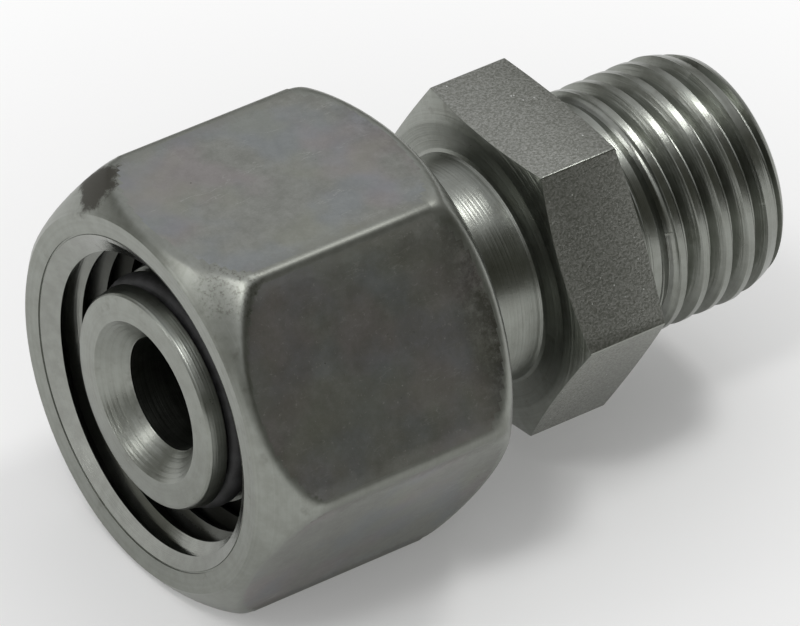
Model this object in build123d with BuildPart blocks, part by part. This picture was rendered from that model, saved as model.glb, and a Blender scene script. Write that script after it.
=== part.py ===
from build123d import *
from math import cos, radians, sin, tan
import os

os.makedirs("parts", exist_ok=True)

# Swivel adapter for hydraulic tube fittings, in millimetres.
# The axis lies along X. The mouth of the nut faces -X and the threaded stud points to +X.
# The nut rests on one of its flats, and the origin is under the middle of the length.
# Stations along the axis are measured from the mouth of the nut.

# Flow bore
BORE_RADIUS = 3.15
BORE_MOUTH_HALF_ANGLE = 45.0
BORE_OUTLET_CHAMFER = 0.4

# Cone nose with its seal groove
NOSE_WALL = 2.83
NOSE_LIP = 1.49
NOSE_SETBACK = 0.3
NOSE_TIP_ROUND = 0.3
CONE_HALF_ANGLE = 12.0
CONE_RISE = 1.32
SEAL_GROOVE_SETBACK = 1.0
SEAL_GROOVE_DEPTH = 0.98
SEAL_SECTION_RADIUS = 0.75
SEAL_SIDE_CLEARANCE = 0.2
SEAL_SEAT_GAP = 0.02

# Collar that runs in the nut, and the neck behind it
SWIVEL_CLEARANCE = 0.08
COLLAR_SETBACK = 0.9
COLLAR_CHAMFER = 0.3
NECK_WALL = 3.2
NECK_LENGTH = 5.1
NECK_FILLET = 0.35

# Swivel nut, inside: the wall of the mating fitting goes between the thread and the collar
MATING_WALL = 1.7
THREAD_PITCH = 1.5
THREAD_DEPTH_PER_PITCH = 0.54127
MOUTH_OVERSIZE = 0.33
MOUTH_DEPTH = 0.66
NUT_THREAD_LENGTH = 8.8
RELIEF_OVERSIZE = 0.2
RELIEF_WIDTH = 1.7
RELIEF_CORNER = 0.4
NUT_REAR_BORE_LENGTH = 6.14
SHOULDER_CHAMFER = 0.3

# Swivel nut, outside
NUT_WALL = 2.0
NUT_EDGE_RADIUS = 0.4
NUT_FRONT_RIM_INSET = 0.5
NUT_FRONT_CHAMFER_LENGTH = 2.9
NUT_FRONT_BULGE = 0.28
NUT_REAR_RIM_INSET = 2.3
NUT_REAR_CHAMFER_LENGTH = 2.4
NUT_REAR_BULGE = 0.35

# Retaining wire that locks the nut to the collar
WIRE_RADIUS = 0.9
WIRE_CLEARANCE = 0.08
WIRE_SETBACK = 2.44
WIRE_ARC = 345.0
FEED_HOLE_ANGLE = 15.0

# Shank and stud thread
SHANK_WALL = 3.53
SHANK_LENGTH = 2.4
STUD_THREAD_RISE = 0.305
STUD_THREAD_LENGTH = 5.55
STUD_RUN_OUT_LENGTH = 2.2
STUD_RUN_OUT_DROP = 0.5
STUD_RUN_OUT_BULGE = 0.05
STUD_TIP_CHAMFER = 0.45

# Hexagon of the stud body
BODY_HEX_LAND = 1.515
BODY_HEX_LENGTH = 5.55
BODY_HEX_FRONT_INSET = 0.5
BODY_HEX_FRONT_ANGLE = 16.0
BODY_HEX_REAR_INSET = 0.1
BODY_HEX_REAR_ANGLE = 8.0
HEX_CUT_MARGIN = 0.4

# Radii that follow, from the bore outwards
NOSE_TIP_RADIUS = BORE_RADIUS + NOSE_WALL
BORE_MOUTH_RADIUS = NOSE_TIP_RADIUS - NOSE_LIP
SEAL_GROOVE_FLOOR_RADIUS = NOSE_TIP_RADIUS - SEAL_GROOVE_DEPTH
COLLAR_RADIUS = NOSE_TIP_RADIUS + CONE_RISE
NECK_RADIUS = BORE_RADIUS + NECK_WALL
NUT_REAR_BORE_RADIUS = COLLAR_RADIUS + SWIVEL_CLEARANCE
NUT_THREAD_MAJOR_RADIUS = COLLAR_RADIUS + MATING_WALL
NUT_THREAD_DEPTH = THREAD_DEPTH_PER_PITCH * THREAD_PITCH
NUT_THREAD_MINOR_RADIUS = NUT_THREAD_MAJOR_RADIUS - NUT_THREAD_DEPTH
MOUTH_RADIUS = NUT_THREAD_MAJOR_RADIUS + MOUTH_OVERSIZE
RELIEF_RADIUS = NUT_THREAD_MAJOR_RADIUS + RELIEF_OVERSIZE
NUT_ACROSS_FLATS = 2 * (NUT_THREAD_MAJOR_RADIUS + NUT_WALL)
NUT_CORNER_RADIUS = NUT_ACROSS_FLATS / 2 / cos(radians(30))
NUT_FRONT_RIM_RADIUS = NUT_ACROSS_FLATS / 2 - NUT_FRONT_RIM_INSET
NUT_REAR_RIM_RADIUS = NUT_ACROSS_FLATS / 2 - NUT_REAR_RIM_INSET
WIRE_CENTRE_RADIUS = COLLAR_RADIUS + SWIVEL_CLEARANCE / 2
WIRE_GROOVE_RADIUS = WIRE_RADIUS + WIRE_CLEARANCE
SHANK_RADIUS = BORE_RADIUS + SHANK_WALL
STUD_THREAD_RADIUS = SHANK_RADIUS + STUD_THREAD_RISE
STUD_TIP_RADIUS = STUD_THREAD_RADIUS - STUD_RUN_OUT_DROP
BODY_ACROSS_FLATS = 2 * (STUD_THREAD_RADIUS + BODY_HEX_LAND)
BODY_CORNER_RADIUS = BODY_ACROSS_FLATS / 2 / cos(radians(30))
BODY_HEX_FRONT_RADIUS = BODY_ACROSS_FLATS / 2 - BODY_HEX_FRONT_INSET
BODY_HEX_REAR_RADIUS = BODY_ACROSS_FLATS / 2 - BODY_HEX_REAR_INSET

# Stations that follow, from the mouth of the nut
CONE_END = NOSE_SETBACK + CONE_RISE / tan(radians(CONE_HALF_ANGLE))
SEAL_GROOVE_START = NOSE_SETBACK + SEAL_GROOVE_SETBACK
SEAL_STATION = SEAL_GROOVE_START + SEAL_SIDE_CLEARANCE + SEAL_SECTION_RADIUS
SEAL_GROOVE_END = SEAL_STATION + SEAL_SECTION_RADIUS + SEAL_SIDE_CLEARANCE
RELIEF_START = MOUTH_DEPTH + NUT_THREAD_LENGTH
RELIEF_END = RELIEF_START + RELIEF_WIDTH
WIRE_STATION = RELIEF_END + WIRE_SETBACK
NUT_LENGTH = RELIEF_END + NUT_REAR_BORE_LENGTH
COLLAR_END = NUT_LENGTH - COLLAR_SETBACK
HEX_START = COLLAR_END + NECK_LENGTH
HEX_END = HEX_START + BODY_HEX_LENGTH
THREAD_START = HEX_END + SHANK_LENGTH
STUD_END = THREAD_START + STUD_THREAD_RISE + STUD_THREAD_LENGTH + STUD_RUN_OUT_LENGTH
AXIS_HEIGHT = NUT_ACROSS_FLATS / 2

# The half plane that every turned profile is drawn in: station across, radius up
AXIS_START = Vector(-STUD_END / 2, 0, AXIS_HEIGHT)
MAIN_AXIS = Axis(AXIS_START, (1, 0, 0))
PROFILE = Plane(origin=AXIS_START, x_dir=(1, 0, 0), z_dir=(0, -1, 0))


def cross_plane(station):
    """The plane across the axis at a station, looking along +X."""
    origin = AXIS_START + Vector(station, 0, 0)
    return Plane(origin=origin, x_dir=(0, 1, 0), z_dir=(1, 0, 0))


def cone_radius(station):
    """Radius of the sealing cone at a station."""
    return NOSE_TIP_RADIUS + (station - NOSE_SETBACK) * tan(radians(CONE_HALF_ANGLE))


# Swivel nut: a hexagon turned to a barrelled chamfer at both ends, threaded from the front
with BuildPart() as swivel_nut:
    with BuildSketch(cross_plane(0)) as nut_hexagon:
        RegularPolygon(radius=NUT_ACROSS_FLATS / 2, side_count=6, major_radius=False)
        fillet(nut_hexagon.vertices(), radius=NUT_EDGE_RADIUS)
    extrude(amount=NUT_LENGTH)

    front_corner = (NUT_FRONT_CHAMFER_LENGTH, NUT_CORNER_RADIUS)
    rear_corner = (NUT_LENGTH - NUT_REAR_CHAMFER_LENGTH, NUT_CORNER_RADIUS)
    with BuildSketch(PROFILE):
        with BuildLine():
            Line((0, 0), (0, NUT_FRONT_RIM_RADIUS))
            SagittaArc((0, NUT_FRONT_RIM_RADIUS), front_corner, NUT_FRONT_BULGE)
            Line(front_corner, rear_corner)
            SagittaArc(rear_corner, (NUT_LENGTH, NUT_REAR_RIM_RADIUS), NUT_REAR_BULGE)
            Polyline((NUT_LENGTH, NUT_REAR_RIM_RADIUS), (NUT_LENGTH, 0), (0, 0))
        make_face()
    revolve(axis=MAIN_AXIS, mode=Mode.INTERSECT)

    # Mouth countersink, thread bore, thread relief and the plain bore that runs on the collar
    with BuildSketch(PROFILE):
        with BuildLine():
            Polyline(
                (0, 0),
                (0, MOUTH_RADIUS),
                (MOUTH_DEPTH, NUT_THREAD_MINOR_RADIUS),
                (RELIEF_START, NUT_THREAD_MINOR_RADIUS),
                (RELIEF_START + RELIEF_OVERSIZE + NUT_THREAD_DEPTH, RELIEF_RADIUS),
                (RELIEF_END - RELIEF_CORNER, RELIEF_RADIUS),
                (RELIEF_END, RELIEF_RADIUS - RELIEF_CORNER),
                (RELIEF_END, NUT_REAR_BORE_RADIUS + SHOULDER_CHAMFER),
                (RELIEF_END + SHOULDER_CHAMFER, NUT_REAR_BORE_RADIUS),
                (NUT_LENGTH - SHOULDER_CHAMFER, NUT_REAR_BORE_RADIUS),
                (NUT_LENGTH, NUT_REAR_BORE_RADIUS + SHOULDER_CHAMFER),
                (NUT_LENGTH, 0),
                close=True,
            )
        make_face()
    revolve(axis=MAIN_AXIS, mode=Mode.SUBTRACT)

    # Half-round channel for the wire
    with BuildSketch(PROFILE):
        with Locations((WIRE_STATION, WIRE_CENTRE_RADIUS)):
            Circle(WIRE_GROOVE_RADIUS)
    revolve(axis=MAIN_AXIS, mode=Mode.SUBTRACT)

    # Hole through the far lower flat, tangent to the channel, where the wire is fed in
    feed_turn = radians(FEED_HOLE_ANGLE)
    tangent_point = Vector(
        WIRE_STATION,
        WIRE_CENTRE_RADIUS * sin(feed_turn),
        -WIRE_CENTRE_RADIUS * cos(feed_turn),
    )
    feed_plane = Plane(
        origin=AXIS_START + tangent_point,
        x_dir=(1, 0, 0),
        z_dir=(0, cos(feed_turn), sin(feed_turn)),
    )
    with BuildSketch(feed_plane):
        Circle(WIRE_GROOVE_RADIUS)
    extrude(amount=NUT_CORNER_RADIUS, mode=Mode.SUBTRACT)
swivel_nut.part.label = "swivel_nut"
export_step(swivel_nut.part, "parts/swivel_nut.step")

# Stud body: cone nose, collar, neck, hexagon, shank and stud, turned from one hexagon bar
with BuildPart() as stud_body:
    with BuildSketch(cross_plane(HEX_START)):
        RegularPolygon(radius=BODY_ACROSS_FLATS / 2, side_count=6, major_radius=False)
    extrude(amount=BODY_HEX_LENGTH)

    # The tool faces both ends of the hexagon and takes its corners off at a shallow angle
    hex_cut_radius = BODY_CORNER_RADIUS + HEX_CUT_MARGIN
    front_rise = hex_cut_radius - BODY_HEX_FRONT_RADIUS
    rear_rise = hex_cut_radius - BODY_HEX_REAR_RADIUS
    front_cut = front_rise * tan(radians(BODY_HEX_FRONT_ANGLE))
    rear_cut = rear_rise * tan(radians(BODY_HEX_REAR_ANGLE))
    with BuildSketch(PROFILE):
        with BuildLine():
            Polyline(
                (HEX_START, 0),
                (HEX_START, BODY_HEX_FRONT_RADIUS),
                (HEX_START + front_cut, hex_cut_radius),
                (HEX_END - rear_cut, hex_cut_radius),
                (HEX_END, BODY_HEX_REAR_RADIUS),
                (HEX_END, 0),
                close=True,
            )
        make_face()
    revolve(axis=MAIN_AXIS, mode=Mode.INTERSECT)

    # Nose, collar and neck, with a fillet where the neck meets the hexagon
    with BuildSketch(PROFILE):
        with BuildLine():
            Polyline(
                (NOSE_SETBACK, 0),
                (NOSE_SETBACK, NOSE_TIP_RADIUS - NOSE_TIP_ROUND),
                (NOSE_SETBACK + NOSE_TIP_ROUND, cone_radius(NOSE_SETBACK + NOSE_TIP_ROUND)),
                (SEAL_GROOVE_START, cone_radius(SEAL_GROOVE_START)),
                (SEAL_GROOVE_START, SEAL_GROOVE_FLOOR_RADIUS),
                (SEAL_GROOVE_END, SEAL_GROOVE_FLOOR_RADIUS),
                (SEAL_GROOVE_END, cone_radius(SEAL_GROOVE_END)),
                (CONE_END, COLLAR_RADIUS),
                (COLLAR_END - COLLAR_CHAMFER, COLLAR_RADIUS),
                (COLLAR_END, COLLAR_RADIUS - COLLAR_CHAMFER),
                (COLLAR_END, NECK_RADIUS),
                (HEX_START - NECK_FILLET, NECK_RADIUS),
            )
            RadiusArc(
                (HEX_START - NECK_FILLET, NECK_RADIUS),
                (HEX_START, NECK_RADIUS + NECK_FILLET),
                NECK_FILLET,
            )
            Polyline(
                (HEX_START, NECK_RADIUS + NECK_FILLET),
                (HEX_START, 0),
                (NOSE_SETBACK, 0),
            )
        make_face()
    revolve(axis=MAIN_AXIS)

    # Shank, thread envelope and the rounded run-out at the tip
    run_out_start = (STUD_END - STUD_RUN_OUT_LENGTH, STUD_THREAD_RADIUS)
    run_out_end = (STUD_END - STUD_TIP_CHAMFER, STUD_TIP_RADIUS)
    with BuildSketch(PROFILE):
        with BuildLine():
            Polyline(
                (HEX_END, 0),
                (HEX_END, SHANK_RADIUS),
                (THREAD_START, SHANK_RADIUS),
                (THREAD_START + STUD_THREAD_RISE, STUD_THREAD_RADIUS),
                run_out_start,
            )
            SagittaArc(run_out_start, run_out_end, STUD_RUN_OUT_BULGE)
            Polyline(
                run_out_end,
                (STUD_END, STUD_TIP_RADIUS - STUD_TIP_CHAMFER),
                (STUD_END, 0),
                (HEX_END, 0),
            )
        make_face()
    revolve(axis=MAIN_AXIS)

    # Groove in the collar that faces the channel in the nut
    with BuildSketch(PROFILE):
        with Locations((WIRE_STATION, WIRE_CENTRE_RADIUS)):
            Circle(WIRE_GROOVE_RADIUS)
    revolve(axis=MAIN_AXIS, mode=Mode.SUBTRACT)

    # Flow bore, wide at the nose and eased at the outlet
    bore_mouth_depth = (BORE_MOUTH_RADIUS - BORE_RADIUS) / tan(radians(BORE_MOUTH_HALF_ANGLE))
    with BuildSketch(PROFILE):
        with BuildLine():
            Polyline(
                (NOSE_SETBACK, 0),
                (NOSE_SETBACK, BORE_MOUTH_RADIUS),
                (NOSE_SETBACK + bore_mouth_depth, BORE_RADIUS),
                (STUD_END - BORE_OUTLET_CHAMFER, BORE_RADIUS),
                (STUD_END, BORE_RADIUS + BORE_OUTLET_CHAMFER),
                (STUD_END, 0),
                close=True,
            )
        make_face()
    revolve(axis=MAIN_AXIS, mode=Mode.SUBTRACT)
stud_body.part.label = "stud_body"
export_step(stud_body.part, "parts/stud_body.step")

# Retaining wire: an open ring that lies half in the nut and half in the collar
wire_section = Plane(
    origin=AXIS_START + Vector(WIRE_STATION, 0, 0),
    x_dir=(0, sin(feed_turn), -cos(feed_turn)),
    z_dir=(0, -cos(feed_turn), -sin(feed_turn)),
)
with BuildPart() as retaining_wire:
    with BuildSketch(wire_section):
        with Locations((WIRE_CENTRE_RADIUS, 0)):
            Circle(WIRE_RADIUS)
    revolve(axis=MAIN_AXIS.reverse(), revolution_arc=WIRE_ARC)
retaining_wire.part.label = "retaining_wire"
export_step(retaining_wire.part, "parts/retaining_wire.step")

# Cone seal: a rubber ring on the floor of the groove in the nose
with BuildPart() as cone_o_ring:
    seal_radius = SEAL_GROOVE_FLOOR_RADIUS + SEAL_SEAT_GAP + SEAL_SECTION_RADIUS
    with BuildSketch(PROFILE):
        with Locations((SEAL_STATION, seal_radius)):
            Circle(SEAL_SECTION_RADIUS)
    revolve(axis=MAIN_AXIS)
cone_o_ring.part.label = "cone_o_ring"
export_step(cone_o_ring.part, "parts/cone_o_ring.step")
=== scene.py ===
from math import cos, pi, radians, sin, tan

import bmesh
import bpy
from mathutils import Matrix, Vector


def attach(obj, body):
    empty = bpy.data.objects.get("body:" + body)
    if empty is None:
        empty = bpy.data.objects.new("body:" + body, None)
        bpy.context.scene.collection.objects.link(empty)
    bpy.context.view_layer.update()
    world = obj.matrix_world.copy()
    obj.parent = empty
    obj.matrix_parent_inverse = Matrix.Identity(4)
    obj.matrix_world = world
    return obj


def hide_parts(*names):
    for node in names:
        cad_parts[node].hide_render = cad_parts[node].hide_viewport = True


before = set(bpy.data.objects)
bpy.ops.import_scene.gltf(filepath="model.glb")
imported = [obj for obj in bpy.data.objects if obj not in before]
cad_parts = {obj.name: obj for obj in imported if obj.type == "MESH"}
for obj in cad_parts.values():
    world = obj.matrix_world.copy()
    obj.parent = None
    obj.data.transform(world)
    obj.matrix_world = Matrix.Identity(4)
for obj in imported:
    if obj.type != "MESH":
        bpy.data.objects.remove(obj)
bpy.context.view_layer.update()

MM = 0.001

# Sizes in millimetres and degrees that this file shares with the part
MOUTH_X = -18.7525
AXIS_Z = 11.0
THREAD_PITCH = 1.5
BORE_RADIUS = 3.15
SWIVEL_CLEARANCE = 0.08

NUT_ACROSS_FLATS = 22.0
NUT_CORNER_RADIUS = NUT_ACROSS_FLATS / 2 / cos(radians(30))
NUT_LENGTH = 17.3
MOUTH_RADIUS = 9.33
MOUTH_DEPTH = 0.66
TURNED_LINE = 0.12
NUT_CREST_RADIUS = 8.188
NUT_ROOT_RADIUS = 9.0
NUT_THREAD_END = 9.46
RELIEF_RADIUS = 9.2
RELIEF_END = 11.16
RELIEF_CORNER = 0.4
REAR_BORE_RADIUS = 7.38
NUT_BORE_CHAMFER = 0.3

WIRE_STATION = 13.6
WIRE_RING_RADIUS = 7.34
WIRE_GROOVE_RADIUS = 0.98
FEED_HOLE_ANGLE = 15.0

NOSE_START = 0.3
NOSE_TIP_RADIUS = 5.98
CONE_HALF_ANGLE = 12.0
CONE_END = 6.51
SEAL_GROOVE_START = 1.3
SEAL_GROOVE_END = 3.2
SEAL_GROOVE_FLOOR = 5.0
COLLAR_RADIUS = 7.3
COLLAR_END = 16.4
COLLAR_CHAMFER = 0.3
NECK_RADIUS = 6.35

BODY_ACROSS_FLATS = 17.0
BODY_CORNER_RADIUS = BODY_ACROSS_FLATS / 2 / cos(radians(30))
BODY_CHAMFER_RADIUS = 10.2
PORT_SHOULDER_RADIUS = 8.4
HEX_START = 21.5
HEX_END = 27.05
SHANK_RADIUS = 6.68
SHANK_END = 29.1
STUD_CREST_RADIUS = 6.985
STUD_ROOT_RADIUS = 6.16
STUD_CREST_START = 29.62
STUD_CREST_END = 35.3
STUD_TIP_RADIUS = 6.485
STUD_TIP_START = 37.05
STUD_END = 37.505

# Softness of the nut's outside, in millimetres
NUT_CORNER_SOFTNESS = 0.34
NUT_FRONT_SOFTNESS = 0.26
NUT_REAR_SOFTNESS = 0.40

# Steps of the meshes
TURN_STEPS = 144
CHANNEL_STEPS = 12
END_STEP = 0.12
MERGE_DISTANCE = 2e-7


def place(station, radius=0.0, turn=0.0):
    """A point in metres, by station along the axis, radius and turn from +Y towards +Z."""
    x = MOUTH_X + station
    y = radius * cos(turn)
    z = AXIS_Z + radius * sin(turn)
    return Vector((x, y, z)) * MM


def clear_selection():
    """Leaves edit mode and deselects everything."""
    if bpy.context.object and bpy.context.object.mode != "OBJECT":
        bpy.ops.object.mode_set(mode="OBJECT")
    bpy.ops.object.select_all(action="DESELECT")


def choose(piece):
    """Selects one piece alone and makes it the active one."""
    clear_selection()
    piece.select_set(True)
    bpy.context.view_layer.objects.active = piece


def settle(piece):
    """Puts the piece's place into its mesh."""
    choose(piece)
    bpy.ops.object.transform_apply(location=True, rotation=True, scale=True)


def draw_outline(name, points):
    """A line of edges drawn from point to point, each a station and a radius, and left in edit mode."""
    clear_selection()
    bpy.ops.mesh.primitive_plane_add(size=MM, location=place(*points[0]))
    piece = bpy.context.object
    piece.name = name
    settle(piece)
    bpy.ops.object.mode_set(mode="EDIT")
    bpy.ops.mesh.select_mode(type="VERT")
    bpy.ops.mesh.select_all(action="SELECT")
    bpy.ops.mesh.merge(type="CENTER")
    for before, after in zip(points, points[1:]):
        run = (after[0] - before[0]) * MM
        rise = (after[1] - before[1]) * MM
        bpy.ops.mesh.extrude_region_move(TRANSFORM_OT_translate={"value": (run, rise, 0)})
    return piece


def join_ends(piece):
    """Joins the outline's last point to its first."""
    mesh = bmesh.from_edit_mesh(piece.data)
    for vert in mesh.verts:
        vert.select_set(len(vert.link_edges) == 1)
    bmesh.update_edit_mesh(piece.data)
    bpy.ops.mesh.edge_face_add()


def close_skin():
    """Merges doubled points, turns the faces outwards and leaves edit mode."""
    bpy.ops.mesh.select_all(action="SELECT")
    bpy.ops.mesh.remove_doubles(threshold=MERGE_DISTANCE)
    bpy.ops.mesh.normals_make_consistent(inside=False)
    bpy.ops.object.mode_set(mode="OBJECT")


def turn_piece(name, points):
    """A turned solid, from an outline that starts and ends on the axis or is a closed ring."""
    piece = draw_outline(name, points)
    if points[0][1] > 0:
        join_ends(piece)
    bpy.ops.mesh.select_all(action="SELECT")
    bpy.ops.mesh.spin(steps=TURN_STEPS, angle=2 * pi, center=place(0), axis=(1, 0, 0))
    close_skin()
    return piece


def thread_ridge(name, outline, start, turns):
    """A right-hand helical ridge that cuts a thread, from a ring outline about its own centre."""
    piece = draw_outline(name, [(-MOUTH_X + x, r) for x, r in outline])
    join_ends(piece)
    bpy.ops.mesh.select_all(action="SELECT")
    bpy.ops.transform.translate(value=(0, 0, -AXIS_Z * MM))
    bpy.ops.object.mode_set(mode="OBJECT")
    helix = piece.modifiers.new("helix", "SCREW")
    helix.axis = "X"
    helix.angle = 2 * pi
    helix.screw_offset = THREAD_PITCH * MM
    helix.iterations = turns
    helix.steps = TURN_STEPS
    helix.render_steps = TURN_STEPS
    helix.use_smooth_shade = False
    bpy.ops.object.modifier_apply(modifier=helix.name)
    piece.location = place(start)
    settle(piece)
    bpy.ops.object.mode_set(mode="EDIT")
    bpy.ops.mesh.select_all(action="SELECT")
    bpy.ops.mesh.fill_holes(sides=len(outline))
    close_skin()
    return piece


def hexagon_bar(name, corner, start, end, edge_round):
    """A hexagon bar along the axis with flats at top and bottom and softened long edges."""
    clear_selection()
    bpy.ops.mesh.primitive_cylinder_add(
        vertices=6,
        radius=corner * MM,
        depth=(end - start) * MM,
        rotation=(0, pi / 2, 0),
        location=place((start + end) / 2),
    )
    piece = bpy.context.object
    piece.name = name
    settle(piece)
    bpy.ops.object.mode_set(mode="EDIT")
    bpy.ops.mesh.select_mode(type="EDGE")
    bpy.ops.mesh.select_all(action="DESELECT")
    mesh = bmesh.from_edit_mesh(piece.data)
    for edge in mesh.edges:
        run = edge.verts[1].co - edge.verts[0].co
        edge.select_set(abs(run.x) > 0.5 * run.length)
    bmesh.update_edit_mesh(piece.data)
    bpy.ops.mesh.bevel(offset=edge_round * tan(radians(30)) * MM, segments=5, affect="EDGES")
    bpy.ops.object.mode_set(mode="OBJECT")
    return piece


def combine(piece, tool, operation):
    """Cuts, joins or trims the piece with a tool shape, and clears the tool away."""
    choose(piece)
    modifier = piece.modifiers.new(operation.lower(), "BOOLEAN")
    modifier.operation = operation
    modifier.object = tool
    modifier.solver = "EXACT"
    bpy.ops.object.modifier_apply(modifier=modifier.name)
    bpy.data.objects.remove(tool)


def break_edges(piece, width, angle):
    """Rounds the edges that are sharper than an angle."""
    choose(piece)
    modifier = piece.modifiers.new("edge_break", "BEVEL")
    modifier.width = width * MM
    modifier.segments = 2
    modifier.limit_method = "ANGLE"
    modifier.angle_limit = radians(angle)
    modifier.miter_outer = "MITER_ARC"
    bpy.ops.object.modifier_apply(modifier=modifier.name)


def bulged(first, last, bulge, steps):
    """Points from first to last along a line that stands out by a bulge at its middle."""
    run = last[0] - first[0]
    rise = last[1] - first[1]
    length = (run ** 2 + rise ** 2) ** 0.5
    points = []
    for step in range(steps + 1):
        share = step / steps
        out = 4 * bulge * share * (1 - share) / length
        points.append((first[0] + run * share - rise * out, first[1] + rise * share + run * out))
    return points


def half_round(side):
    """Points across the wire's half-round channel, outwards for side 1 and inwards for side -1."""
    points = []
    for step in range(CHANNEL_STEPS + 1):
        turn = pi * step / CHANNEL_STEPS
        station = WIRE_STATION - WIRE_GROOVE_RADIUS * cos(turn)
        depth = max(WIRE_GROOVE_RADIUS * sin(turn), SWIVEL_CLEARANCE / 2)
        points.append((station, WIRE_RING_RADIUS + side * depth))
    return points


def tool_marks(start, end, radius, depth, pitch):
    """Shallow turned grooves between two stations, with a land before each."""
    points = []
    for count in range(int((end - start) / pitch)):
        at = start + count * pitch
        points += [(at, radius), (at + 0.45 * pitch, radius), (at + 0.72 * pitch, radius - depth)]
    return points


def softer(first, second, soft):
    """The smaller of two sizes, rounded off where they are nearly the same."""
    near = max(1 - abs(first - second) / soft, 0.0)
    return min(first, second) - near * near * soft / 4


def hexagon_radius(turn, apothem, soft):
    """The radius at a turn of a hexagon with flats at top and bottom and rounded corners."""
    from_flat = turn % (pi / 3) - pi / 6
    return softer(apothem / cos(from_flat), apothem / cos(pi / 3 - abs(from_flat)), soft)


def barrel_radius(station, start, end, bulge):
    """The radius of a barrelled end between two points, each a station and a radius."""
    share = (station - start[0]) / (end[0] - start[0])
    if share >= 1:
        return end[1] + 1.0
    return start[1] + (end[1] - start[1]) * share + 4 * bulge * share * (1 - share)


def soft_hexagon(name, stations, apothem, front, rear):
    """A hexagon bar whose rounded flats run softly into its barrelled ends, from a bent grid."""
    # The grid's lines stand close together near the six corners, from 0 to 30 degrees off each
    corner_turns = [0.0, 0.6, 1.2, 1.8, 2.6, 3.6, 5.0, 7.0, 9.5, 12.5, 16.0, 20.0, 25.0, 30.0]
    sector = corner_turns + [60.0 - turn for turn in reversed(corner_turns[:-1])][:-1]
    turns = [radians(60 * side + turn) for side in range(6) for turn in sector] + [2 * pi]
    clear_selection()
    bpy.ops.mesh.primitive_grid_add(
        x_subdivisions=len(stations) - 1, y_subdivisions=len(turns) - 1, size=1.0
    )
    piece = bpy.context.object
    piece.name = name
    for vert in piece.data.vertices:
        station = stations[round((vert.co.x + 0.5) * (len(stations) - 1))]
        turn = turns[round((vert.co.y + 0.5) * (len(turns) - 1))]
        radius = hexagon_radius(turn, apothem, NUT_CORNER_SOFTNESS)
        radius = softer(radius, barrel_radius(station, *front), NUT_FRONT_SOFTNESS)
        from_rear = NUT_LENGTH - station
        radius = softer(radius, barrel_radius(from_rear, *rear), NUT_REAR_SOFTNESS)
        vert.co = place(station, radius, turn)
    choose(piece)
    bpy.ops.object.mode_set(mode="EDIT")
    bpy.ops.mesh.select_all(action="SELECT")
    bpy.ops.mesh.remove_doubles(threshold=MERGE_DISTANCE)
    bpy.ops.mesh.fill_holes(sides=0)
    close_skin()
    return piece


# Swivel nut: a hexagon bar with barrelled ends, bored, grooved for the wire and threaded
nut_stations = (
    [END_STEP * step for step in range(31)]
    + [6.0, 10.0]
    + [NUT_LENGTH - END_STEP * step for step in range(30, -1, -1)]
)
nut = soft_hexagon(
    "nut_shell",
    nut_stations,
    NUT_ACROSS_FLATS / 2,
    ((0.0, 10.5), (2.95, NUT_CORNER_RADIUS), 0.40),
    ((0.0, 8.7), (3.5, NUT_CORNER_RADIUS), 0.92),
)

# The bore carries a thin turned line just inside the mouth's edge
nut_bore = turn_piece(
    "nut_bore",
    [
        (-1.0, 0.0),
        (-1.0, 14.0),
        (-0.01, 10.5),
        (0.10, MOUTH_RADIUS + 0.10),
        (0.17, MOUTH_RADIUS + 0.09),
        (0.18, MOUTH_RADIUS + 0.01),
        (0.14, MOUTH_RADIUS - 0.02),
        (MOUTH_DEPTH, NUT_CREST_RADIUS),
        (NUT_THREAD_END, NUT_CREST_RADIUS),
        (NUT_THREAD_END + 1.01, RELIEF_RADIUS),
        (RELIEF_END - RELIEF_CORNER, RELIEF_RADIUS),
        (RELIEF_END, RELIEF_RADIUS - RELIEF_CORNER),
        (RELIEF_END, REAR_BORE_RADIUS + NUT_BORE_CHAMFER),
        (RELIEF_END + NUT_BORE_CHAMFER, REAR_BORE_RADIUS),
    ]
    + half_round(1)
    + [
        (NUT_LENGTH - NUT_BORE_CHAMFER, REAR_BORE_RADIUS),
        (NUT_LENGTH, REAR_BORE_RADIUS + NUT_BORE_CHAMFER),
        (NUT_LENGTH + 1.0, REAR_BORE_RADIUS + NUT_BORE_CHAMFER + 1.0),
        (NUT_LENGTH + 1.0, 0.0),
    ],
)
combine(nut, nut_bore, "DIFFERENCE")

nut_thread = thread_ridge(
    "nut_thread_ridge",
    [
        (-0.735, 7.95),
        (-0.70, 8.14),
        (-0.66, 8.2),
        (-0.12, NUT_ROOT_RADIUS),
        (0.12, NUT_ROOT_RADIUS),
        (0.66, 8.2),
        (0.70, 8.14),
        (0.735, 7.95),
    ],
    start=-1.62,
    turns=8,
)
combine(nut, nut_thread, "DIFFERENCE")

# The wire's feed hole runs from the channel out through a flat, in line with the wire
feed_turn = radians(FEED_HOLE_ANGLE)
feed_start = place(WIRE_STATION, WIRE_RING_RADIUS, feed_turn - pi / 2)
feed_run = Vector((0, cos(feed_turn), sin(feed_turn))) * NUT_CORNER_RADIUS * MM
clear_selection()
bpy.ops.mesh.primitive_cylinder_add(
    vertices=40,
    radius=WIRE_GROOVE_RADIUS * MM,
    depth=feed_run.length,
    rotation=(feed_turn - pi / 2, 0, 0),
    location=feed_start + feed_run / 2,
)
feed_hole = bpy.context.object
settle(feed_hole)
combine(nut, feed_hole, "DIFFERENCE")

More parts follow.
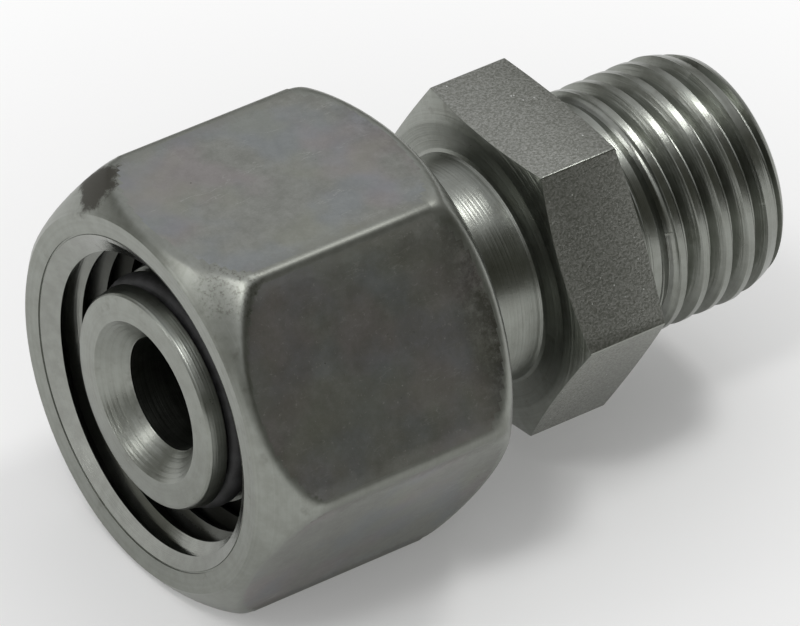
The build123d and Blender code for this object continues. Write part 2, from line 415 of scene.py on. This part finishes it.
# Stud body: cone nose, collar, neck, hexagon, shank and thread
stud = hexagon_bar("stud_turned", BODY_CORNER_RADIUS, HEX_START, HEX_END, 0.12)
hex_envelope = turn_piece(
    "hex_envelope",
    [
        (HEX_START, 0.0),
        (HEX_START, 8.0),
        (HEX_START + 0.64, BODY_CHAMFER_RADIUS),
        (HEX_END - 0.25, BODY_CHAMFER_RADIUS),
        (HEX_END, PORT_SHOULDER_RADIUS),
        (HEX_END, 0.0),
    ],
)
combine(stud, hex_envelope, "INTERSECT")
break_edges(stud, 0.07, 12)


def cone_radius(station):
    """The nose's radius at a station of its cone."""
    return NOSE_TIP_RADIUS + (station - NOSE_START) * tan(radians(CONE_HALF_ANGLE))


stud_blank = turn_piece(
    "stud_blank",
    [
        (NOSE_START, 0.0),
        (NOSE_START, NOSE_TIP_RADIUS - 0.18),
        (NOSE_START + 0.03, NOSE_TIP_RADIUS - 0.08),
        (NOSE_START + 0.10, NOSE_TIP_RADIUS - 0.01),
        (NOSE_START + 0.20, cone_radius(NOSE_START + 0.20)),
        (SEAL_GROOVE_START - 0.03, cone_radius(SEAL_GROOVE_START - 0.03)),
        (SEAL_GROOVE_START, cone_radius(SEAL_GROOVE_START - 0.03) - 0.03),
        (SEAL_GROOVE_START, SEAL_GROOVE_FLOOR),
        (SEAL_GROOVE_END, SEAL_GROOVE_FLOOR),
        (SEAL_GROOVE_END, cone_radius(SEAL_GROOVE_END - 0.03) - 0.03),
        (SEAL_GROOVE_END + 0.03, cone_radius(SEAL_GROOVE_END)),
        (CONE_END, COLLAR_RADIUS),
    ]
    + half_round(-1)
    + [
        (COLLAR_END - COLLAR_CHAMFER, COLLAR_RADIUS),
        (COLLAR_END, COLLAR_RADIUS - COLLAR_CHAMFER),
        (COLLAR_END, NECK_RADIUS),
        (HEX_START - 0.35, NECK_RADIUS),
        (HEX_START - 0.12, NECK_RADIUS + 0.08),
        (HEX_START - 0.03, NECK_RADIUS + 0.21),
        (HEX_START + 0.02, NECK_RADIUS + 0.41),
        (HEX_START + 0.9, NECK_RADIUS + 0.41),
        (HEX_END - 0.9, SHANK_RADIUS - 0.4),
        (SHANK_END, SHANK_RADIUS - 0.4),
        (SHANK_END + 0.02, SHANK_RADIUS + 0.02),
        (SHANK_END + 0.2, SHANK_RADIUS + 0.03),
        (STUD_CREST_START, STUD_CREST_RADIUS),
    ]
    + bulged((STUD_CREST_END, STUD_CREST_RADIUS), (STUD_TIP_START, STUD_TIP_RADIUS), 0.05, 6)
    + [(37.3, 6.38), (37.45, 6.2), (STUD_END, 6.0), (STUD_END, 0.0)],
)
combine(stud, stud_blank, "UNION")

stud_thread = thread_ridge(
    "stud_thread_ridge",
    [
        (-0.72, 7.25),
        (-0.565, 6.99),
        (-0.49, 6.92),
        (-0.07, 6.19),
        (0.0, STUD_ROOT_RADIUS),
        (0.07, 6.19),
        (0.49, 6.92),
        (0.565, 6.99),
        (0.72, 7.25),
    ],
    start=27.27,
    turns=8,
)
combine(stud, stud_thread, "DIFFERENCE")

# The shank with its tool marks fills the thread's first turns, so that the groove runs out up a cone
shank = turn_piece(
    "shank",
    [(HEX_END - 0.9, 0.0), (HEX_END - 0.9, SHANK_RADIUS)]
    + tool_marks(HEX_END + 0.1, 28.8, SHANK_RADIUS, 0.04, 0.24)
    + [(29.0, SHANK_RADIUS), (30.35, 6.10), (30.35, 0.0)],
)
combine(stud, shank, "UNION")
flow_bore = turn_piece(
    "flow_bore",
    [
        (-0.5, 0.0),
        (-0.5, 5.29),
        (0.27, 4.55),
        (0.33, 4.46),
        (1.64, BORE_RADIUS),
        (STUD_END - 0.4, BORE_RADIUS),
        (STUD_END + 0.6, BORE_RADIUS + 1.0),
        (STUD_END + 0.6, 0.0),
    ],
)
combine(stud, flow_bore, "DIFFERENCE")

for piece, body, node, finish in (
    (nut, "nut", "swivel_nut", "nut_steel"),
    (stud, "stud", "stud_body", "body_steel"),
):
    choose(piece)
    bpy.ops.object.shade_smooth_by_angle(angle=radians(28))
    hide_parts(node)
    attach(piece, body)


class Value:
    """A number that varies over a surface and is written into expressions as numbers are."""

    def __init__(self, nodes, socket):
        self.nodes = nodes
        self.socket = socket

    def math(self, operation, first, second):
        """The result of a Math node."""
        settings = {"operation": operation}
        return self.nodes.add("ShaderNodeMath", settings, {0: first, 1: second})

    def __add__(self, other):
        return self.math("ADD", self, other)

    def __radd__(self, other):
        return self.math("ADD", other, self)

    def __sub__(self, other):
        return self.math("SUBTRACT", self, other)

    def __rsub__(self, other):
        return self.math("SUBTRACT", other, self)

    def __mul__(self, other):
        return self.math("MULTIPLY", self, other)

    def __rmul__(self, other):
        return self.math("MULTIPLY", other, self)

    def __truediv__(self, other):
        return self.math("DIVIDE", self, other)

    def __pow__(self, other):
        return self.math("POWER", self, other)

    def __abs__(self):
        return self.math("ABSOLUTE", self, 0.0)

    def larger(self, other):
        """The larger of this number and another."""
        return self.math("MAXIMUM", self, other)

    def rise(self, low, high):
        """0 up to low, 1 from high on, and smooth between them."""
        settings = {"interpolation_type": "SMOOTHSTEP"}
        inputs = {"Value": self, "From Min": low, "From Max": high}
        return self.nodes.add("ShaderNodeMapRange", settings, inputs)


class Nodes:
    """The nodes of a material or of the world."""

    def __init__(self, tree):
        self.tree = tree

    def add(self, kind, settings, inputs, output=0):
        """A node of a type, with its settings, and the values or links of its sockets."""
        node = self.tree.nodes.new(kind)
        for name, setting in settings.items():
            setattr(node, name, setting)
        for name, value in inputs.items():
            if isinstance(value, Value):
                self.tree.links.new(value.socket, node.inputs[name])
            else:
                node.inputs[name].default_value = value
        return Value(self, node.outputs[output])

    def mix(self, share, first, second):
        """A colour between two colours."""
        return self.add("ShaderNodeMix", {"data_type": "RGBA"}, {0: share, 6: first, 7: second}, 2)

    def parts(self, vector):
        """The three numbers of a vector."""
        return [
            self.add("ShaderNodeSeparateXYZ", {}, {"Vector": vector}, axis)
            for axis in ("X", "Y", "Z")
        ]


class Finish(Nodes):
    """A material in the making, with the point it colours in millimetres from the nut's mouth."""

    def __init__(self, name):
        self.material = bpy.data.materials.new(name)
        self.material.use_nodes = True
        super().__init__(self.material.node_tree)
        self.shader = self.tree.nodes["Principled BSDF"]
        placed = self.add("ShaderNodeTexCoord", {}, {}, "Object")
        self.point = self.add(
            "ShaderNodeMapping",
            {"vector_type": "POINT"},
            {
                "Vector": placed,
                "Location": (-MOUTH_X, 0.0, -AXIS_Z),
                "Scale": (1 / MM, 1 / MM, 1 / MM),
            },
        )
        self.station, self.across, self.up = self.parts(self.point)
        self.radius = (self.across * self.across + self.up * self.up) ** 0.5

    def noise(self, size, detail=3.0, roughness=0.5, stretch=(1.0, 1.0, 1.0), shift=0.0):
        """Noise from 0 to 1 with features of a size in millimetres, drawn out by a stretch."""
        scale = [1 / (size * length) for length in stretch]
        point = self.add(
            "ShaderNodeMapping",
            {"vector_type": "POINT"},
            {"Vector": self.point, "Location": (shift, shift, shift), "Scale": scale},
        )
        return self.noise_at(point, detail, roughness)

    def noise_at(self, point, detail, roughness):
        """Noise from 0 to 1 with features one unit of the point's own scale in size."""
        inputs = {"Vector": point, "Scale": 1.0, "Detail": detail, "Roughness": roughness}
        return self.add("ShaderNodeTexNoise", {}, inputs)

    def rings(self, pitch):
        """Turned rings about the axis, of a pitch in millimetres."""
        inputs = {"X": self.station / pitch, "Y": self.radius / pitch}
        point = self.add("ShaderNodeCombineXYZ", {}, inputs)
        return self.noise_at(point, 2.0, 0.6)

    def specks(self, spacing, size, shift=0.0):
        """Small round specks of a size, about a spacing apart, in millimetres."""
        point = self.add(
            "ShaderNodeMapping",
            {"vector_type": "POINT"},
            {"Vector": self.point, "Location": (shift, shift, shift)},
        )
        distance = self.add(
            "ShaderNodeTexVoronoi", {"feature": "F1"}, {"Vector": point, "Scale": 1 / spacing}
        )
        return 1 - distance.rise(0.5 * size / spacing, size / spacing)

    def bump(self, height, depth):
        """The tilt of a surface with a height from 0 to 1, as deep as a depth in millimetres."""
        inputs = {"Height": height, "Distance": depth * MM, "Strength": 1.0}
        return self.add("ShaderNodeBump", {}, inputs)

    def near(self, station, across, up, reach):
        """1 at a point and 0 about a reach away from it, in millimetres, in an eight-sided spot."""
        offset = abs(self.station - station) + abs(self.across - across) + abs(self.up - up)
        return 1 - offset.rise(0.0, reach * 1.6)

    def done(self, inputs):
        """Sets the shader's sockets and gives the material."""
        for name, value in inputs.items():
            if isinstance(value, Value):
                self.tree.links.new(value.socket, self.shader.inputs[name])
            else:
                self.shader.inputs[name].default_value = value
        return self.material


def colour(red, green, blue):
    """An opaque colour."""
    return (red, green, blue, 1.0)


LIGHT_ZINC = colour(0.285, 0.297, 0.270)
DARK_ZINC = colour(0.235, 0.243, 0.218)
WORN_ZINC = colour(0.17, 0.17, 0.15)


def nut_flat_finish():
    """Zinc on the drawn flats of the nut: mottled, faintly tinted, with specks, scuffs and stains."""
    f = Finish("nut_flat_zinc")
    mottle = f.noise(1.6, 6.0, 0.7)
    blotch = f.noise(0.45, 4.0, 0.7, shift=13.0)
    grain = f.noise(0.08, 2.0, 0.6, shift=4.0)
    rose = f.noise(4.5, 2.0, shift=11.0).rise(0.46, 0.64)
    blue = f.noise(4.0, 2.0, shift=23.0).rise(0.46, 0.64)
    straw = f.noise(4.5, 2.0, shift=37.0).rise(0.50, 0.66)
    tone = (mottle * 0.45 + blotch * 0.35 + grain * 0.2).rise(0.34, 0.66)
    zinc = f.mix(tone, colour(0.225, 0.230, 0.208), colour(0.300, 0.306, 0.282))
    zinc = f.mix(rose * 0.34, zinc, colour(0.315, 0.262, 0.280))
    zinc = f.mix(blue * 0.34, zinc, colour(0.240, 0.272, 0.310))
    zinc = f.mix(straw * 0.30, zinc, colour(0.290, 0.300, 0.235))
    pits = f.specks(1.3, 0.07, 3.0) * f.noise(2.0, shift=31.0).rise(0.45, 0.6)
    zinc = f.mix(pits * 0.8, zinc, colour(0.08, 0.075, 0.06))
    glints = f.specks(1.9, 0.05, 8.0) * f.noise(2.4, shift=41.0).rise(0.5, 0.6)
    zinc = f.mix(glints, zinc, colour(0.75, 0.76, 0.74))
    scuffs = f.noise(0.9, 5.0, 0.55, (4.0, 1.0, 0.7), 17.0)
    scuff_lines = 1 - abs(scuffs - 0.5).rise(0.0, 0.012)
    scuff_share = scuff_lines * f.noise(2.2, 2.0, shift=19.0).rise(0.52, 0.66)
    zinc = f.mix(scuff_share * 0.5, zinc, colour(0.42, 0.425, 0.40))
    # The flat beside the top one, towards the camera, is dustier and more clouded than the rest
    front_flat = (f.across * -0.866 + f.up * 0.5).rise(10.7, 10.9)
    cloud = f.noise(3.2, 7.0, 0.8, shift=51.0).rise(0.36, 0.64)
    zinc = f.mix(front_flat * cloud * 0.40, zinc, colour(0.17, 0.165, 0.135))
    dust = f.noise(0.28, 3.0, 0.8, shift=53.0).rise(0.60, 0.72)
    zinc = f.mix(front_flat * dust * 0.60, zinc, colour(0.42, 0.42, 0.39))
    # Dark stains gather towards the rear, and the long edges are worn dull
    stain = f.station.rise(12.6, 16.2) * f.noise(0.9, 7.0, 0.8, shift=7.0).rise(0.36, 0.60)
    stain = stain * (0.35 + front_flat * 0.65)
    zinc = f.mix(stain * 0.85, zinc, colour(0.055, 0.052, 0.04))
    crest = (f.radius + f.noise(0.5, 4.0, 0.8, shift=57.0) * 0.7).rise(12.4, 12.8)
    zinc = f.mix(crest * 0.35, zinc, WORN_ZINC)
    return f.done(
        {
            "Base Color": zinc,
            "Metallic": 1.0,
            "Roughness": 0.30 + mottle * 0.10 + grain * 0.06 - glints * 0.15 + crest * 0.14,
            "Normal": f.bump(mottle * 0.2 + blotch * 0.4 + grain * 0.4, 0.010),
        }
    )


def turned_finish(name, pitch, depth, rough, corner_marks=False):
    """Zinc on turned steel: fine rings about the axis over a soft mottle."""
    f = Finish(name)
    mottle = f.noise(0.9, 5.0, 0.65, shift=2.0)
    grain = f.noise(0.08, 2.0, 0.6, shift=5.0)
    rings = f.rings(pitch)
    zinc = f.mix((mottle * 0.7 + rings * 0.3).rise(0.32, 0.68), DARK_ZINC, LIGHT_ZINC)
    stain = f.noise(2.3, 4.0, 0.7, shift=27.0).rise(0.58, 0.72)
    zinc = f.mix(stain * 0.45, zinc, colour(0.13, 0.128, 0.11))
    roughness = rough + grain * 0.08 + mottle * 0.08
    relief = rings * 0.75 + grain * 0.15 + mottle * 0.1
    if corner_marks:
        # A dark spot at one corner of the nut's mouth and a pitted one at the next
        ragged = f.noise(0.7, 6.0, 0.8, shift=61.0)
        spot = f.near(1.3, 5.4, 10.0, 2.6)
        spot = (spot * 0.7 + ragged * 0.8).rise(0.62, 0.82) * spot.rise(0.0, 0.2)
        zinc = f.mix(spot * 0.85, zinc, colour(0.055, 0.05, 0.04))
        worn = f.near(2.0, -5.6, 10.2, 3.0).rise(0.05, 0.6)
        speckle = f.noise(0.22, 5.0, 0.85, shift=67.0)
        zinc = f.mix(worn * speckle.rise(0.50, 0.62) * 0.7, zinc, colour(0.10, 0.098, 0.08))
        crest = (f.radius + ragged * 0.7).rise(12.5, 12.9) * f.station.rise(2.4, 3.6)
        zinc = f.mix(crest * 0.35, zinc, WORN_ZINC)
        roughness = roughness + crest * 0.15 + spot * 0.2
        relief = relief + worn * (speckle * 1.5 - rings * 0.5)
    return f.done(
        {
            "Base Color": zinc,
            "Metallic": 1.0,
            "Roughness": roughness,
            "Normal": f.bump(relief, depth),
        }
    )


def mouth_finish():
    """Bright zinc inside the nut's mouth, darker further in along the thread by painted shade."""
    f = Finish("nut_mouth_zinc")
    mottle = f.noise(0.7, 4.0, 0.6, shift=12.0)
    rings = f.rings(0.09)
    zinc = f.mix(mottle.rise(0.3, 0.7), colour(0.25, 0.256, 0.235), colour(0.29, 0.30, 0.275))
    # Painted shade: the colour fades to near black deeper inside the bore
    deep = f.station.rise(1.0, 5.0)
    zinc = f.mix(deep * 0.85, zinc, colour(0.035, 0.035, 0.03))
    return f.done(
        {
            "Base Color": zinc,
            "Metallic": 1.0,
            "Roughness": 0.14 + mottle * 0.04 + deep * 0.25,
            "Normal": f.bump(rings, 0.004),
        }
    )


def grainy_finish():
    """Zinc on the sawn flats of the body hexagon: a coarse sparkling grain."""
    f = Finish("hexagon_grain_zinc")
    grain = f.noise(0.14, 3.0, 0.75, shift=6.0)
    mottle = f.noise(1.4, 4.0, 0.6, shift=8.0)
    zinc = f.mix(grain.rise(0.36, 0.64), colour(0.19, 0.195, 0.172), colour(0.33, 0.335, 0.31))
    glints = f.specks(0.55, 0.05, 15.0) * f.noise(0.8, shift=21.0).rise(0.46, 0.56)
    zinc = f.mix(glints, zinc, colour(0.8, 0.81, 0.79))
    return f.done(
        {
            "Base Color": zinc,
            "Metallic": 1.0,
            "Roughness": 0.34 + mottle * 0.10,
            "Normal": f.bump(grain * 0.85 + mottle * 0.15, 0.028),
        }
    )


def rubber_finish():
    """Black rubber of the O-ring, with a dull bloom."""
    f = Finish("ring_rubber")
    bloom = f.noise(0.9, 4.0, 0.6)
    grain = f.noise(0.12, 2.0, shift=3.0)
    rubber = f.mix(bloom.rise(0.4, 0.7), colour(0.012, 0.012, 0.012), colour(0.03, 0.03, 0.031))
    return f.done(
        {"Base Color": rubber, "Roughness": 0.5 + bloom * 0.2, "Normal": f.bump(grain, 0.01)}
    )


nut_flat = nut_flat_finish()
nut_turned = turned_finish("nut_turned_zinc", 0.16, 0.008, 0.26, corner_marks=True)
nut_mouth = mouth_finish()
stud_grain = grainy_finish()
stud_turned = turned_finish("stud_turned_zinc", 0.20, 0.030, 0.22)
wire_drawn = turned_finish("wire_drawn_steel", 0.3, 0.01, 0.3)
ring_rubber = rubber_finish()


def finish_flats(piece, across_flats, turned, flat):
    """Gives the piece's turned surfaces one finish and its hexagon flats another."""
    piece.data.materials.clear()
    piece.data.materials.append(turned)
    piece.data.materials.append(flat)
    for face in piece.data.polygons:
        from_axis = (face.center - place(0)).dot(face.normal) / MM
        on_flat = abs(face.normal.x) < 0.02 and abs(from_axis - across_flats / 2) < 0.01
        face.material_index = int(on_flat)


def finish_mouth(piece, finish):
    """Gives the front half of the nut's inside, from the turned line on, a finish of its own."""
    piece.data.materials.append(finish)
    for face in piece.data.polygons:
        away = (face.center - place(0)) / MM
        inside = Vector((0, away.y, away.z)).length < MOUTH_RADIUS
        if inside and TURNED_LINE < away.x < NUT_LENGTH / 2:
            face.material_index = 2


finish_flats(nut, NUT_ACROSS_FLATS, nut_turned, nut_flat)
finish_mouth(nut, nut_mouth)
finish_flats(stud, BODY_ACROSS_FLATS, stud_turned, stud_grain)
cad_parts["retaining_wire"].material_slots[0].material = wire_drawn
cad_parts["cone_o_ring"].material_slots[0].material = ring_rubber

# Camera, at the photograph's viewing angle, far off with a long lens
clear_selection()
bpy.ops.object.camera_add(
    location=(-0.2642955, -0.3502228, 0.3390112),
    rotation=(radians(53.0378), radians(-1.3237), radians(-35.8373)),
)
camera = bpy.context.object
camera.name = "camera"
camera.data.sensor_width = 36.0
camera.data.lens = 466.8
camera.data.clip_start = 0.01
bpy.context.scene.camera = camera

# Floor, pale near the object, where its shadow lies, and white further away
clear_selection()
bpy.ops.mesh.primitive_plane_add(size=6.0, location=(0, 0, 0))
floor = bpy.context.object
floor.name = "floor"
ground = Finish("floor_paint")
ground.done({"Base Color": colour(0.86, 0.86, 0.85), "Roughness": 0.9})
along = ground.station - 19.0
away = ((along * along + ground.across * ground.across) ** 0.5).rise(12.0, 60.0)
path = ("Is Camera Ray", "Is Glossy Ray", "Is Transmission Ray")
seen = ground.add("ShaderNodeLightPath", {}, {}, path[0])
for name in path[1:]:
    seen = seen.larger(ground.add("ShaderNodeLightPath", {}, {}, name))
white = ground.add("ShaderNodeEmission", {}, {"Color": colour(1, 1, 1), "Strength": 1.0})
surface = ground.tree.nodes["Principled BSDF"].outputs[0]
share = seen * (0.20 + away * 0.80)
cover = ground.add("ShaderNodeMixShader", {}, {0: share, 1: Value(ground, surface), 2: white})
ground.tree.links.new(cover.socket, ground.tree.nodes["Material Output"].inputs["Surface"])
floor.data.materials.append(ground.material)

# World: a bright ceiling, a dim side to the camera's right and a pale low horizon
world = bpy.data.worlds.new("studio")
world.use_nodes = True
bpy.context.scene.world = world
sky = Nodes(world.node_tree)
towards = sky.add("ShaderNodeTexCoord", {}, {}, "Generated")
x, y, z = sky.parts(towards)
ceiling = z.rise(0.30, 0.60)
dim_side = (x * 0.5 - y * 0.8 + z * 0.33).rise(0.55, 0.80)
horizon = 1 - z.rise(0.03, 0.09)
light = sky.mix(ceiling, colour(0.20, 0.20, 0.18), colour(0.77, 0.77, 0.79))
light = sky.mix(dim_side, light, colour(0.07, 0.07, 0.055))
light = sky.mix(horizon, light, colour(0.90, 0.90, 0.90))
world.node_tree.links.new(light.socket, world.node_tree.nodes["Background"].inputs["Color"])

# Four soft lamps, all as far away in metres
LAMP_DISTANCE = 0.8


def soft_lamp(name, direction, size, radiance):
    """An area lamp that faces the object from a direction, with a width, height and radiance."""
    clear_selection()
    location = Vector(direction).normalized() * LAMP_DISTANCE
    bpy.ops.object.light_add(type="AREA", location=location)
    lamp = bpy.context.object
    lamp.name = name
    lamp.data.shape = "RECTANGLE"
    lamp.data.size = size[0]
    lamp.data.size_y = size[1]
    lamp.data.energy = radiance * pi * size[0] * size[1]
    lamp.visible_camera = False
    lamp.rotation_euler = location.to_track_quat("Z", "Y").to_euler()


soft_lamp("lamp_corner", (-0.42, -0.22, 0.88), (0.14, 0.14), 20.0)
soft_lamp("lamp_left", (-0.80, 0.27, 0.52), (0.14, 0.14), 6.0)
soft_lamp("lamp_low", (-0.98, 0.14, 0.09), (0.12, 0.07), 14.0)
soft_lamp("lamp_right", (0.47, 0.08, 0.87), (0.18, 0.18), 14.0)

bpy.context.scene.view_settings.view_transform = "Standard"
